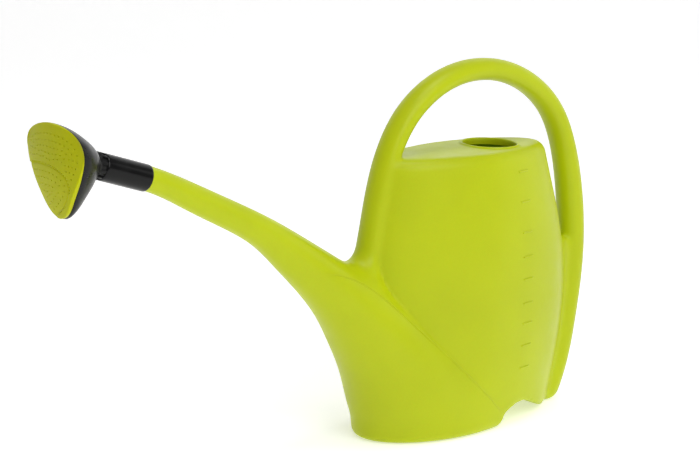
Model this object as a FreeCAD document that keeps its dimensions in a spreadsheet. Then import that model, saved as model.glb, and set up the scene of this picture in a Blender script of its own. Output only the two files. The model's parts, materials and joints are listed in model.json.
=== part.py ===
"""Ten-litre garden watering can: a blow-moulded shell, its spout sleeve and a two-piece rose.

Frame: millimetres, +Z up, origin on the floor under the middle of the base oval.
The spout points along -X, the handle's rear leg is at +X, and the can mirrors across Y = 0.
"""
import FreeCAD, Part
import Sketcher
import math
import os

V = FreeCAD.Vector

# ---------------------------------------------------------------- driving dimensions

SIZES = [
    # tank
    ("tank_height", 317.0, "floor to the flat top"),
    ("tank_wall", 1.8, "wall of the blow-moulded shell"),
    ("tank_power", 1.9, "power of the tank's ovals: 2 is an ellipse, less is leaner at both ends"),
    ("top_round", 13.0, "round between the side and the flat top"),
    ("base_round", 11.0, "round between the side and the floor"),
    ("floor_rise", 1.5, "rise of the tank's underside above the standing rim of the base oval"),
    ("base_length", 214.0, "base oval along X"),
    ("base_width", 138.0, "base oval along Y"),
    # filling hole in the top
    ("hole_x", 82.0, "centre of the filling hole"),
    ("hole_length", 56.0, "filling hole along X"),
    ("hole_width", 70.0, "filling hole along Y"),
    ("lip_height", 3.0, "lip above the flat top"),
    ("lip_width", 3.5, "lip across, round the hole"),
    # handle
    ("handle_thickness", 25.0, "handle section in the mirror plane"),
    ("handle_width", 34.0, "handle section across Y"),
    ("handle_wall", 1.8, "wall of the hollow handle"),
    ("handle_rise", 89.0, "top of the handle's centre line above the flat top"),
    ("web_width", 32.0, "web that joins the rear leg to the tank, across Y"),
    # hand recess below the rear
    ("recess_x", 96.0, "middle of the recess"),
    ("recess_length", 86.0, "recess along X at the floor"),
    ("recess_height", 21.0, "top of the recess above the floor"),
    ("trim_depth", 60.0, "height of the block that trims the foot of the handle level"),
    # spout
    ("spout_x", -385.0, "where the plain end of the spout starts"),
    ("spout_z", 332.0, "height of the same point"),
    ("spout_climb", 18.6, "climb of the spout's end, degrees"),
    ("spout_diameter", 25.6, "outside of the spout's plain end"),
    ("end_gap", 3.0, "gap in the sleeve between the plain end and the rose's neck"),
    ("end_root", 4.0, "length of the plain end's cylinder inside the horn"),
    ("stop_step", 0.5, "radial step where the horn stops the sleeve"),
    ("stop_gap", 0.2, "gap between that step and the sleeve"),
    ("spout_wall", 1.8, "wall of the spout's plain end"),
    # planes where the one moulding is told apart into stretches
    ("horn_start", -175.0, "plane across the horn between spout and tank"),
    ("leg_start", 165.0, "upright plane between tank and rear leg"),
    ("wall_rise", 13.0, "level plane above the top of the recess"),
    ("crown_drop", 40.0, "level plane below the flat top, under the shoulder"),
    ("arch_gap", 4.0, "level plane above the lip, between tank and handle arch"),
    # sleeve
    ("sleeve_length", 56.0, "whole sleeve"),
    ("sleeve_wall", 1.4, "wall of the sleeve"),
    ("fit_clearance", 0.1, "radial clearance of both fits in the sleeve"),
    ("sleeve_round", 1.1, "round on the sleeve's two rims"),
    ("neck_seat", 13.0, "length of the rose's neck inside the sleeve"),
    # rose
    ("neck_wall", 2.2, "wall of the rose's neck"),
    ("bead_height", 0.5, "bead that keeps the neck in the sleeve"),
    ("bead_width", 2.4, "width of the same bead"),
    ("neck_show", 8.0, "neck that shows between sleeve and bowl"),
    ("neck_step", 0.6, "step from the neck out to the bowl"),
    ("neck_root", 2.0, "length of the neck inside the bowl's wall"),
    ("rose_depth", 43.0, "bowl from its neck to its rim along the spout's axis"),
    ("rose_wall", 1.8, "wall of the bowl"),
    ("rose_tilt", 22.6, "tilt of the rim from the spout's axis, degrees"),
    ("rose_drop", 14.0, "middle of the rim below the spout's axis"),
    ("face_width", 108.0, "perforated face across Y"),
    ("face_height", 98.0, "perforated face from its tip to its top"),
    ("face_wall", 2.0, "wall of the perforated face"),
    ("face_edge", 1.8, "height of the face's edge above the bowl's rim"),
    ("face_bulge", 7.0, "rise of the dome from its edge to its middle"),
    ("skirt_depth", 2.5, "skirt of the face inside the bowl"),
    ("skirt_wall", 1.4, "wall of the same skirt"),
    ("skirt_clearance", 0.9, "gap between skirt and bowl"),
    ("spray_hole", 1.3, "diameter of the spray holes"),
    ("spray_pitch", 8.0, "distance between spray holes along a row"),
    ("spray_row", 7.5, "distance between rows of spray holes"),
    ("spray_edge", 11.0, "outermost row in from the edge of the face"),
]

# tank sections from the floor up: name, share of the height, front x, widest x, rear x, width
TANK_SECTIONS = [
    ("foot", 0.00, -97.0, 26.0, 164.0, 122.0),
    ("low", 0.21, -106.0, 30.0, 179.0, 139.0),
    ("belly", 0.45, -108.0, 36.0, 189.0, 146.0),
    ("waist", 0.70, -100.0, 40.0, 180.0, 141.0),
    ("shoulder", 0.87, -90.0, 42.0, 167.0, 130.0),
    ("crown", 1.00, -82.0, 42.0, 157.0, 118.0),
]

# spout sections from the plain end down: name, upper point, lower point, width
SPOUT_SECTIONS = [
    ("reach", (-322.0, 319.0), (-333.0, 291.5), 29.0),
    ("bend", (-276.0, 296.5), (-290.5, 268.5), 31.5),
    ("grip", (-233.0, 274.0), (-250.0, 243.0), 37.0),
    ("swell", (-196.0, 252.0), (-217.0, 211.0), 45.0),
    ("horn", (-160.5, 229.5), (-187.0, 179.0), 58.0),
    ("flare", (-125.0, 205.5), (-161.5, 145.0), 76.0),
    ("root", (-79.0, 176.0), (-141.0, 108.0), 99.0),
    ("heel", (-22.0, 137.0), (-124.0, 71.0), 120.0),
    ("ankle", (44.0, 82.0), (-113.5, 34.0), 134.0),
]

# centre line of the handle: x, with its height as a share of the tank or of the rise above it
REAR_LEG = [(170.0, 0.0), (193.5, 0.126), (207.0, 0.32), (215.5, 0.55), (211.5, 0.78), (198.0, 0.965)]
ARCH = [(177.0, 0.33), (141.0, 0.72), (108.0, 0.91), (64.0, 1.0), (19.0, 0.93), (-18.0, 0.74), (-42.0, 0.53)]
FRONT_LEG = [(-75.0, 0.97), (-92.0, 0.757), (-109.0, 0.52)]

# web between tank and rear leg: share of the height, front x, rear x
WEB_SECTIONS = [
    ("web_foot", 0.00, 128.0, 168.0),
    ("web_low", 0.21, 160.0, 205.0),
    ("web_middle", 0.45, 168.0, 217.0),
    ("web_high", 0.62, 166.0, 219.0),
    ("web_top", 0.715, 158.0, 218.0),
]

# half outline of the perforated face from its tip up: share of the half width, share of the height
FACE_OUTLINE = [(0.0, 0.0), (0.19, 0.035), (0.64, 0.335), (0.97, 0.60), (0.95, 0.78), (0.56, 0.93), (0.0, 1.0)]

# bowl of the rose from its neck to its rim: share of the way, share of the growth
BOWL_SECTIONS = [(0.0, 0.0), (0.10, 0.07), (0.22, 0.30), (0.48, 0.63), (0.76, 0.88), (0.92, 0.98), (1.0, 1.0)]


# ---------------------------------------------------------------- document helpers

def new_document():
    return FreeCAD.newDocument("WateringCan")


def add_sheet(doc):
    """Put every driving dimension in one sheet, a row each: name, value and meaning."""
    sheet = doc.addObject("Spreadsheet::Sheet", "Sizes")
    rows = list(SIZES)
    for name, share, front, widest, rear, width in TANK_SECTIONS:
        rows += [(name + "_share", share, "height of this tank section"),
                 (name + "_front", front, "front of this tank section"),
                 (name + "_widest", widest, "where this tank section is widest"),
                 (name + "_rear", rear, "rear of this tank section"),
                 (name + "_width", width, "width of this tank section")]
    for name, upper, lower, width in SPOUT_SECTIONS:
        rows += [(name + "_upper_x", upper[0], "upper point of this spout section"),
                 (name + "_upper_z", upper[1], "its height"),
                 (name + "_lower_x", lower[0], "lower point of this spout section"),
                 (name + "_lower_z", lower[1], "its height"),
                 (name + "_width", width, "width of this spout section")]
    for name, share, front, rear in WEB_SECTIONS:
        rows += [(name + "_share", share, "height of this web section"),
                 (name + "_front", front, "front of this web section"),
                 (name + "_rear", rear, "rear of this web section")]
    for number, (name, value, meaning) in enumerate(rows, start=1):
        sheet.set("A%d" % number, name)
        sheet.set("B%d" % number, str(value))
        sheet.set("C%d" % number, meaning)
        sheet.setAlias("B%d" % number, name)
    doc.recompute()
    return sheet


def bind(thing, **expressions):
    """Tie properties of an object to the sheet; a double underscore stands for a dot."""
    for name, expression in expressions.items():
        thing.setExpression(name.replace("__", "."), expression)


def add(doc, kind, name, **expressions):
    thing = doc.addObject(kind, name)
    bind(thing, **expressions)
    return thing


def add_loft(doc, name, sections):
    loft = doc.addObject("Part::Loft", name)
    loft.Sections = sections
    loft.Solid = True
    loft.Ruled = False
    return loft


def add_fuse(doc, name, shapes):
    fuse = doc.addObject("Part::MultiFuse", name)
    fuse.Shapes = shapes
    return fuse


def add_cut(doc, name, base, tool):
    cut = doc.addObject("Part::Cut", name)
    cut.Base = base
    cut.Tool = tool
    return cut


def add_feature(doc, name, shape):
    feature = doc.addObject("Part::Feature", name)
    feature.Shape = shape
    return feature


# ---------------------------------------------------------------- can body

SECTION_POINTS = 16     # points around one oval
ROW_SPACING = 16.0      # distance between the rows that carry a skin
HANDLE_STATIONS = 20    # sections along the handle
WEB_POWER = 2.6         # power of the web's sections, nearer to a rectangle than an ellipse
FLATNESS = 0.01         # how far an edge of a flat end may leave its plane
PAST_END = 1.0          # how far the bore runs past the spout's open end
PLAIN_END = "Sizes.sleeve_length - Sizes.neck_seat - Sizes.end_gap"     # length of the spout's plain end


def value(sheet, name):
    """One dimension from the sheet, by its name."""
    return getattr(sheet, name)


def closed_curve(points):
    """Smooth closed wire in two mirrored halves, evenly parametrised so that lofts stay clean."""
    count = len(points)
    curve = Part.BSplineCurve()
    curve.interpolate(Points=points, PeriodicFlag=True, Parameters=list(range(count + 1)))
    return Part.Wire([curve.toShape(0, count / 2), curve.toShape(count / 2, count)])


def oval_points(back, ahead, half_width, power=2.0):
    """Oval in the XY plane: it reaches back along -X, ahead along +X and half_width each way along Y."""
    points = []
    for number in range(SECTION_POINTS):
        angle = 2 * math.pi * number / SECTION_POINTS
        along, across = math.cos(angle), math.sin(angle)
        reach = ahead if along > 0 else back
        points.append(V(reach * math.copysign(abs(along) ** (2 / power), along),
                        half_width * math.copysign(abs(across) ** (2 / power), across), 0))
    return points


def oval_wire(back, ahead, half_width, power=2.0):
    return closed_curve(oval_points(back, ahead, half_width, power))


def dense_rows(rows):
    """Rows through the given ones, closer together, by a smooth curve along each column of points."""
    ways = [0.0]
    for row, following in zip(rows, rows[1:]):
        steps = [point.distanceToPoint(other) for point, other in zip(row, following)]
        ways.append(ways[-1] + sum(steps) / len(steps))
    stations = []
    for start, stop in zip(ways, ways[1:]):
        count = max(1, round((stop - start) / ROW_SPACING))
        stations += [start + (stop - start) * number / count for number in range(count)]
    stations.append(ways[-1])
    columns = []
    for column in zip(*rows):
        curve = Part.BSplineCurve()
        curve.interpolate(Points=list(column), Parameters=ways)
        columns.append([curve.value(station) for station in stations])
    return [list(row) for row in zip(*columns)]


def half_skin(rows, first, last):
    """Smooth face through the rows of points, from one column to another."""
    count = len(rows[0])
    spare = 2
    grid = [[row[number % count] for number in range(first - spare, last + spare + 1)] for row in rows]
    surface = Part.BSplineSurface()
    surface.interpolate(grid)
    _, start = surface.parameter(grid[0][spare])
    _, stop = surface.parameter(grid[0][-spare - 1])
    low, high, _, _ = surface.bounds()
    surface.segment(low, high, start, stop)
    return surface.toShape()


def end_face(sides, row):
    """Flat face across the end of two side faces."""
    middle = sum(row, V()) / len(row)
    normal = (row[0] - middle).cross(row[len(row) // 4] - middle).normalize()
    rim = []
    for edge in [edge for side in sides for edge in side.Edges]:
        spots = edge.discretize(Number=4)
        if all(abs((spot - middle).dot(normal)) < FLATNESS for spot in spots):
            rim.append(edge)
    return Part.Face(Part.Wire(rim))


def skin_solid(rows):
    """Closed solid through rows of points: two mirrored side faces and two flat ends."""
    rows = dense_rows(rows)
    half = len(rows[0]) // 2
    sides = [half_skin(rows, 0, half), half_skin(rows, half, 2 * half)]
    shell = Part.Shell(sides + [end_face(sides, rows[0]), end_face(sides, rows[-1])])
    shell.sewShape()
    return Part.Solid(shell)


def placed(points, placement):
    return [placement.multVec(point) for point in points]


def add_section(doc, name, wire, placement):
    feature = add_feature(doc, name, wire)
    feature.Placement = placement
    return feature


def upright(x, z):
    """Placement of a level section."""
    return FreeCAD.Placement(V(x, 0, z), FreeCAD.Rotation())


def tilted(middle, up):
    """Placement of a section square to the mirror plane whose X axis points along up."""
    return FreeCAD.Placement(middle, FreeCAD.Rotation(V(0, 1, 0), -math.degrees(math.atan2(up.z, up.x))))


def round_steps(radius):
    """Steps of a quarter round: distance pulled in and distance left to the end face."""
    steps = []
    for angle in (30, 60, 90):
        turn = math.radians(angle)
        steps.append((radius * (1 - math.cos(turn)), radius * (1 - math.sin(turn))))
    return steps


def tank_row(sheet, section, inset, level):
    """One level oval of the tank, pulled in by the inset."""
    middle = value(sheet, section + "_widest")
    oval = oval_points(middle - value(sheet, section + "_front") - inset,
                       value(sheet, section + "_rear") - middle - inset,
                       value(sheet, section + "_width") / 2 - inset,
                       sheet.tank_power)
    return placed(oval, upright(middle, level))


def tank_solid(doc, sheet, name, inset):
    """Stack of level ovals with a round at the floor and at the flat top."""
    low, high = TANK_SECTIONS[0][0], TANK_SECTIONS[-1][0]
    floor, top = sheet.floor_rise + inset, sheet.tank_height - inset
    base_round, top_round = sheet.base_round - inset, sheet.top_round - inset
    rows = [tank_row(sheet, low, inset + pulled, floor + left) for pulled, left in reversed(round_steps(base_round))]
    rows.append(tank_row(sheet, low, inset, floor + base_round))
    for section, _, _, _, _, _ in TANK_SECTIONS[1:-1]:
        rows.append(tank_row(sheet, section, inset, value(sheet, section + "_share") * sheet.tank_height))
    rows.append(tank_row(sheet, high, inset, top - top_round))
    rows += [tank_row(sheet, high, inset + pulled, top - left) for pulled, left in round_steps(top_round)]
    return add_feature(doc, name, skin_solid(rows))


def spout_solid(doc, sheet, name, end_inset, inset):
    """Horn from the sleeve's stop down to the base oval, through ovals in turning planes."""
    radius = sheet.spout_diameter / 2 + sheet.stop_step - end_inset
    stop = spout_frame(sheet) * FreeCAD.Placement(V(0, 0, -sheet.stop_gap), FreeCAD.Rotation())
    rows = [placed(oval_points(radius, radius, radius), stop)]
    for section, _, _, _ in SPOUT_SECTIONS:
        upper = V(value(sheet, section + "_upper_x"), 0, value(sheet, section + "_upper_z"))
        lower = V(value(sheet, section + "_lower_x"), 0, value(sheet, section + "_lower_z"))
        half = (upper - lower).Length / 2 - inset
        oval = oval_points(half, half, value(sheet, section + "_width") / 2 - inset)
        rows.append(placed(oval, tilted((upper + lower) / 2, upper - lower)))
    base_round = sheet.base_round - inset
    for pulled, left in [(0.0, base_round)] + round_steps(base_round):
        half_length = sheet.base_length / 2 - inset - pulled
        oval = oval_points(half_length, half_length, sheet.base_width / 2 - inset - pulled)
        rows.append(placed(oval, upright(0, inset + left)))
    return add_feature(doc, name, skin_solid(rows))


def spout_rod(doc, sheet, name, wall, extra):
    """Plain cylinder along the spout's end, rooted a little way inside the horn."""
    rod = doc.addObject("Part::Cylinder", name)
    rod.Placement = spout_frame(sheet) * FreeCAD.Placement(V(0, 0, -sheet.end_root), FreeCAD.Rotation())
    bind(rod,
         Radius="Sizes.spout_diameter / 2 - %s" % wall,
         Height="Sizes.end_root + %s + %s" % (PLAIN_END, extra))
    return rod


def handle_line(sheet):
    """Centre line of the handle from the rear foot over the arch to the front leg."""
    height = sheet.tank_height
    points = [V(x, 0, share * height) for x, share in REAR_LEG]
    points += [V(x, 0, height + share * sheet.handle_rise) for x, share in ARCH]
    points += [V(x, 0, share * height) for x, share in FRONT_LEG]
    line = Part.BSplineCurve()
    line.interpolate(points)
    return line


def handle_solid(doc, sheet, name, inset):
    """Oval tube along the handle's centre line."""
    line = handle_line(sheet)
    sections = []
    for number in range(HANDLE_STATIONS + 1):
        way = line.FirstParameter + (line.LastParameter - line.FirstParameter) * number / HANDLE_STATIONS
        along = line.tangent(way)[0]
        half = sheet.handle_thickness / 2 - inset
        wire = oval_wire(half, half, sheet.handle_width / 2 - inset)
        across = V(-along.z, 0, along.x)
        sections.append(add_section(doc, "%s_station%d" % (name, number), wire, tilted(line.value(way), across)))
    return add_loft(doc, name, sections)


def web_solid(doc, sheet, name, inset):
    """Upright web between the tank's rear and the handle's rear leg."""
    sections = []
    for section, _, _, _ in WEB_SECTIONS:
        level = value(sheet, section + "_share") * sheet.tank_height
        if section == WEB_SECTIONS[-1][0]:
            level -= inset
        front, rear = value(sheet, section + "_front"), value(sheet, section + "_rear")
        half = (rear - front) / 2 - inset
        wire = oval_wire(half, half, sheet.web_width / 2 - inset, WEB_POWER)
        sections.append(add_section(doc, name + "_" + section, wire, upright((front + rear) / 2, level)))
    return add_loft(doc, name, sections)


def recess_cutter(doc, name, grow):
    """Cylinder across Y that arches the hand recess into the underside."""
    radius = "((Sizes.recess_length / 2)^2 + Sizes.recess_height^2) / (2 * Sizes.recess_height)"
    cutter = doc.addObject("Part::Cylinder", name)
    cutter.Placement = FreeCAD.Placement(V(), FreeCAD.Rotation(V(1, 0, 0), -90))
    bind(cutter,
         Radius="%s + %s" % (radius, grow),
         Height="2 * Sizes.base_width",
         Placement__Base__x="Sizes.recess_x",
         Placement__Base__y="-Sizes.base_width",
         Placement__Base__z="Sizes.recess_height - %s" % radius)
    return cutter


def floor_cutter(doc, name, lift):
    """Block below the floor plane that trims the handle's foot."""
    block = add(doc, "Part::Box", name,
                Length="2 * Sizes.base_length",
                Width="2 * Sizes.base_width",
                Height="Sizes.trim_depth",
                Placement__Base__x="-Sizes.base_length / 2",
                Placement__Base__y="-Sizes.base_width",
                Placement__Base__z="%s - Sizes.trim_depth" % lift)
    return block


def hole_oval(doc, name, grow, bottom, height):
    """Upright oval column for the filling hole and its lip."""
    oval = doc.addObject("Part::Ellipse", name + "_section")
    oval.Placement = FreeCAD.Placement(V(0, 0, 0), FreeCAD.Rotation(V(0, 0, 1), 90))
    bind(oval,
         MajorRadius="Sizes.hole_width / 2 + %s" % grow,
         MinorRadius="Sizes.hole_length / 2 + %s" % grow,
         Placement__Base__x="Sizes.hole_x",
         Placement__Base__z=bottom)
    column = doc.addObject("Part::Extrusion", name)
    column.Base = oval
    column.DirMode = "Custom"
    column.Dir = V(0, 0, 1)
    column.Solid = True
    column.FaceMakerClass = "Part::FaceMakerBullseye"
    bind(column, LengthFwd=height)
    return column


def can_form(doc, sheet, tag, wall, spout_wall, handle_wall, past_end):
    """Tank, horn, handle and web in one solid: the outside, or the room inside when pulled in by the walls."""
    tank = tank_solid(doc, sheet, tag + "_tank", wall)
    spout = spout_solid(doc, sheet, tag + "_spout", spout_wall, wall)
    end = spout_rod(doc, sheet, tag + "_plain_end", spout_wall, past_end)
    handle = handle_solid(doc, sheet, tag + "_handle", handle_wall)
    web = web_solid(doc, sheet, tag + "_web", wall)
    form = add_fuse(doc, tag + "_form", [tank, spout, end, handle, web])
    form = add_cut(doc, tag + "_recessed", form, recess_cutter(doc, tag + "_recess", wall))
    return add_cut(doc, tag + "_trimmed", form, floor_cutter(doc, tag + "_floor", wall))


def build_can_body(doc, sheet):
    """Hollow shell in one wall, open at the filling hole and at the spout's end."""
    outside = can_form(doc, sheet, "outer", 0.0, 0.0, 0.0, 0.0)
    inside = can_form(doc, sheet, "inner", sheet.tank_wall, sheet.spout_wall, sheet.handle_wall, PAST_END)
    lip = hole_oval(doc, "lip", "Sizes.lip_width", "Sizes.tank_height - Sizes.tank_wall",
                    "Sizes.tank_wall + Sizes.lip_height")
    shell = add_cut(doc, "shell", add_fuse(doc, "outer_with_lip", [outside, lip]), inside)
    hole = hole_oval(doc, "hole", "0", "Sizes.tank_height - 3 * Sizes.top_round",
                     "3 * Sizes.top_round + 2 * Sizes.lip_height")
    return add_cut(doc, "can_shell", shell, hole)


# stretches of the one moulding, between two places along X and two heights
FLOOR = "-Sizes.trim_depth"
WALL_FOOT = "Sizes.recess_height + Sizes.wall_rise"
SHOULDER = "Sizes.tank_height - Sizes.crown_drop"
ARCH_FOOT = "Sizes.tank_height + Sizes.lip_height + Sizes.arch_gap"
SKY = "2 * Sizes.tank_height"
CAN_STRETCHES = [
    ("can_spout", "Sizes.spout_x - 2 * Sizes.sleeve_length", "Sizes.horn_start", FLOOR, SKY),
    ("can_handle", "Sizes.horn_start", "Sizes.tank_height", ARCH_FOOT, SKY),
    ("can_rear_leg", "Sizes.leg_start", "Sizes.tank_height", FLOOR, ARCH_FOOT),
    ("can_base", "Sizes.horn_start", "Sizes.leg_start", FLOOR, WALL_FOOT),
    ("can_wall", "Sizes.horn_start", "Sizes.leg_start", WALL_FOOT, SHOULDER),
    ("can_crown", "Sizes.horn_start", "Sizes.leg_start", SHOULDER, ARCH_FOOT),
]


def split_can_body(doc, shell):
    """The one moulding as stretches of simple form that meet face to face."""
    stretches = []
    for name, start, stop, bottom, top in CAN_STRETCHES:
        block = add(doc, "Part::Box", name + "_block",
                    Length="%s - (%s)" % (stop, start),
                    Width="2 * Sizes.base_width",
                    Height="%s - (%s)" % (top, bottom),
                    Placement__Base__x=start,
                    Placement__Base__y="-Sizes.base_width",
                    Placement__Base__z=bottom)
        stretches.append(add_common(doc, name, [shell, block]))
    return stretches


# ---------------------------------------------------------------- sleeve and rose

def spout_up(sheet):
    """Direction square to the spout's end, up in the mirror plane."""
    climb = math.radians(sheet.spout_climb)
    return V(math.sin(climb), 0, math.cos(climb))


def spout_frame(sheet):
    """Placement at the start of the plain end: Z runs out along the spout, X points up."""
    return tilted(V(sheet.spout_x, 0, sheet.spout_z), spout_up(sheet))


def origin_part(body, role):
    return [part for part in body.Origin.OriginFeatures if part.Role == role][0]


def turned_body(doc, name, outline):
    """Body turned about Z from a closed outline: each corner is a radius and a length, as expressions."""
    body = doc.addObject("PartDesign::Body", name)
    sketch = body.newObject("Sketcher::SketchObject", name + "_outline")
    sketch.AttachmentSupport = [(origin_part(body, "XZ_Plane"), "")]
    sketch.MapMode = "FlatFace"
    corners = [V(sketch.evalExpression(radius), sketch.evalExpression(length), 0) for radius, length in outline]
    count = len(corners)
    for number in range(count):
        sketch.addGeometry(Part.LineSegment(corners[number], corners[(number + 1) % count]), False)
    for number in range(count):
        sketch.addConstraint(Sketcher.Constraint("Coincident", number, 2, (number + 1) % count, 1))
    for number, (radius, length) in enumerate(outline):
        across = sketch.addConstraint(Sketcher.Constraint("DistanceX", -1, 1, number, 1, corners[number].x))
        sketch.setExpression("Constraints[%d]" % across, radius)
        along = sketch.addConstraint(Sketcher.Constraint("DistanceY", -1, 1, number, 1, corners[number].y))
        sketch.setExpression("Constraints[%d]" % along, length)
    turned = body.newObject("PartDesign::Revolution", name + "_turned")
    turned.Profile = sketch
    turned.ReferenceAxis = (origin_part(body, "Z_Axis"), [""])
    turned.Angle = 360.0
    body.Tip = turned
    return body


def build_rose_sleeve(doc, sheet):
    """Sleeve over the spout's end; a groove near its front holds the bead of the rose's neck."""
    bore = "Sizes.spout_diameter / 2 + Sizes.fit_clearance"
    rim = bore + " + Sizes.sleeve_wall"
    groove = "Sizes.spout_diameter / 2 + Sizes.bead_height + Sizes.fit_clearance"
    middle = "Sizes.sleeve_length - Sizes.neck_seat / 2"
    half = "(Sizes.bead_width / 2 + Sizes.fit_clearance)"
    shoulder = "Sizes.sleeve_round"
    outline = [
        (bore, "0 * Sizes.sleeve_length"),
        (rim + " - " + shoulder, "0 * Sizes.sleeve_length"),
        (rim, shoulder),
        (rim, "Sizes.sleeve_length - " + shoulder),
        (rim + " - " + shoulder, "Sizes.sleeve_length"),
        (bore, "Sizes.sleeve_length"),
        (bore, "%s + %s" % (middle, half)),
        (groove, "%s + %s" % (middle, half)),
        (groove, "%s - %s" % (middle, half)),
        (bore, "%s - %s" % (middle, half)),
    ]
    body = turned_body(doc, "rose_sleeve", outline)
    body.Placement = spout_frame(sheet)
    return body


def build_neck(doc):
    """Tube of the rose that turns in the sleeve, with the bead that keeps it there."""
    outer = "Sizes.spout_diameter / 2"
    inner = outer + " - Sizes.neck_wall"
    bead = outer + " + Sizes.bead_height"
    start = "Sizes.sleeve_length - Sizes.neck_seat"
    stop = "Sizes.sleeve_length + Sizes.neck_show + Sizes.neck_root"
    middle = "Sizes.sleeve_length - Sizes.neck_seat / 2"
    outline = [
        (inner, start),
        (outer, start),
        (outer, middle + " - Sizes.bead_width / 2"),
        (bead, middle + " - Sizes.bead_width / 2"),
        (bead, middle + " + Sizes.bead_width / 2"),
        (outer, middle + " + Sizes.bead_width / 2"),
        (outer, stop),
        (inner, stop),
    ]
    return turned_body(doc, "rose_neck", outline)


def face_points(sheet):
    """Corners of the rounded triangle about its middle: X up the face, Y across it."""
    half = [V((up - 0.5) * sheet.face_height, across * sheet.face_width / 2, 0) for across, up in FACE_OUTLINE]
    mirrored = [V(point.x, -point.y, 0) for point in reversed(half[1:-1])]
    return half + mirrored


def pulled_in(point, distance):
    """Point moved towards the middle by a distance."""
    return point * ((point.Length - distance) / point.Length)


def rim_frame(sheet):
    """Frame of the bowl's rim: origin at the middle of the face, Z out of the face."""
    tilt = FreeCAD.Rotation(V(0, 1, 0), -sheet.rose_tilt)
    hit = V(0, 0, sheet.sleeve_length + sheet.neck_show + sheet.rose_depth)
    up = tilt.multVec(V(1, 0, 0))
    return FreeCAD.Placement(hit - up * sheet.rose_drop, tilt)


def bowl_loft(doc, sheet, name, inset):
    """Bell from the round neck to the rounded-triangle rim, pulled in by the inset."""
    neck_radius = sheet.spout_diameter / 2 + sheet.neck_step
    start = V(0, 0, sheet.sleeve_length + sheet.neck_show)
    rim = rim_frame(sheet)
    wires = []
    for number, (way, growth) in enumerate(BOWL_SECTIONS):
        middle = start + (rim.Base - start) * way
        turn = FreeCAD.Rotation(V(0, 1, 0), -sheet.rose_tilt * way)
        points = []
        for corner in face_points(sheet):
            round_point = corner * (neck_radius / corner.Length)
            points.append(pulled_in(round_point * (1 - growth) + corner * growth, inset))
        wire = closed_curve(points)
        wire.Placement = FreeCAD.Placement(middle, turn)
        wires.append(add_feature(doc, "%s_section%d" % (name, number), wire))
    return add_loft(doc, name, wires)


def build_rose_shell(doc, sheet):
    """Bowl with its neck in one moulding."""
    outer = bowl_loft(doc, sheet, "bowl_outer", 0.0)
    inner = bowl_loft(doc, sheet, "bowl_inner", sheet.rose_wall)
    bowl = add_cut(doc, "bowl", outer, inner)
    shell = add_fuse(doc, "rose_shell", [bowl, build_neck(doc)])
    shell.Placement = spout_frame(sheet)
    return shell


def face_prism(doc, sheet, name, inset, bottom, top):
    """Column with the outline of the face, pulled in by the inset, between two distances from the rim."""
    frame = rim_frame(sheet)
    wire = closed_curve([pulled_in(corner, inset) for corner in face_points(sheet)])
    start = FreeCAD.Placement(frame.multVec(V(0, 0, bottom)), frame.Rotation)
    outline = add_section(doc, name + "_outline", wire, start)
    column = doc.addObject("Part::Extrusion", name)
    column.Base = outline
    column.DirMode = "Custom"
    column.Dir = frame.Rotation.multVec(V(0, 0, 1))
    column.LengthFwd = top - bottom
    column.Solid = True
    return column


def face_ball(doc, sheet, name, inset):
    """Large ball whose cap is the dome of the face; its poles lie far off to the sides."""
    radius = "(((Sizes.face_width / 2)^2 + Sizes.face_bulge^2) / (2 * Sizes.face_bulge))"
    ball = doc.addObject("Part::Sphere", name)
    bind(ball, Radius="%s - %s" % (radius, inset))
    middle = V(0, 0, sheet.face_edge + sheet.face_bulge - ball.evalExpression(radius))
    sideways = FreeCAD.Rotation(V(1, 0, 0), 90)
    ball.Placement = rim_frame(sheet) * FreeCAD.Placement(middle, sideways)
    return ball


def add_common(doc, name, shapes):
    common = doc.addObject("Part::MultiCommon", name)
    common.Shapes = shapes
    return common


def spray_holes(sheet):
    """Rows of holes that follow the edge of the face, square to its rim, with one in the middle."""
    frame = rim_frame(sheet)
    out = frame.Rotation.multVec(V(0, 0, 1))
    corners = face_points(sheet)
    reach = min(corner.Length for corner in corners)
    spots = [V(0, 0, 0)]
    inset = sheet.spray_edge
    while inset < reach - sheet.spray_row / 2:
        row = closed_curve([corner * (1 - inset / reach) for corner in corners])
        count = round(row.Length / sheet.spray_pitch)
        spots += row.discretize(Number=count + 1)[:-1]
        inset += sheet.spray_row
    length = sheet.skirt_depth + 2 * sheet.face_bulge
    feet = [frame.multVec(V(spot.x, spot.y, -sheet.skirt_depth)) for spot in spots]
    return Part.makeCompound([Part.makeCylinder(sheet.spray_hole / 2, length, foot, out) for foot in feet])


def build_rose_face(doc, sheet):
    """Domed, perforated face; its skirt stands inside the bowl's rim."""
    tall = 4 * sheet.face_bulge
    skirt_inset = sheet.rose_wall + sheet.skirt_clearance
    plate = face_prism(doc, sheet, "face_column", 0.0, 0.0, tall)
    skirt = face_prism(doc, sheet, "face_skirt", skirt_inset, -sheet.skirt_depth, 0.5 * sheet.face_edge)
    dome = add_common(doc, "face_dome", [plate, face_ball(doc, sheet, "face_ball", "0")])
    room = add_common(doc, "face_room", [
        face_prism(doc, sheet, "face_room_column", skirt_inset + sheet.skirt_wall, -tall, tall),
        face_ball(doc, sheet, "face_room_ball", "Sizes.face_wall")])
    shell = add_cut(doc, "face_shell", add_fuse(doc, "face_solid", [dome, skirt]), room)
    face = add_cut(doc, "rose_face", shell, add_feature(doc, "spray_holes", spray_holes(sheet)))
    face.Placement = spout_frame(sheet)
    return face


# ---------------------------------------------------------------- build, check and write

def check(doc, pieces):
    """Stop on any failed object and on any piece that isn't one valid solid."""
    failed = [thing.Name for thing in doc.Objects if {"Invalid", "Error"} & set(thing.State)]
    if failed:
        raise RuntimeError("failed objects: %s" % ", ".join(failed))
    for piece in pieces:
        shape = piece.Shape
        if shape.isNull() or not shape.isValid() or len(shape.Solids) != 1:
            raise RuntimeError("%s isn't one valid solid" % piece.Label)


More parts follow.
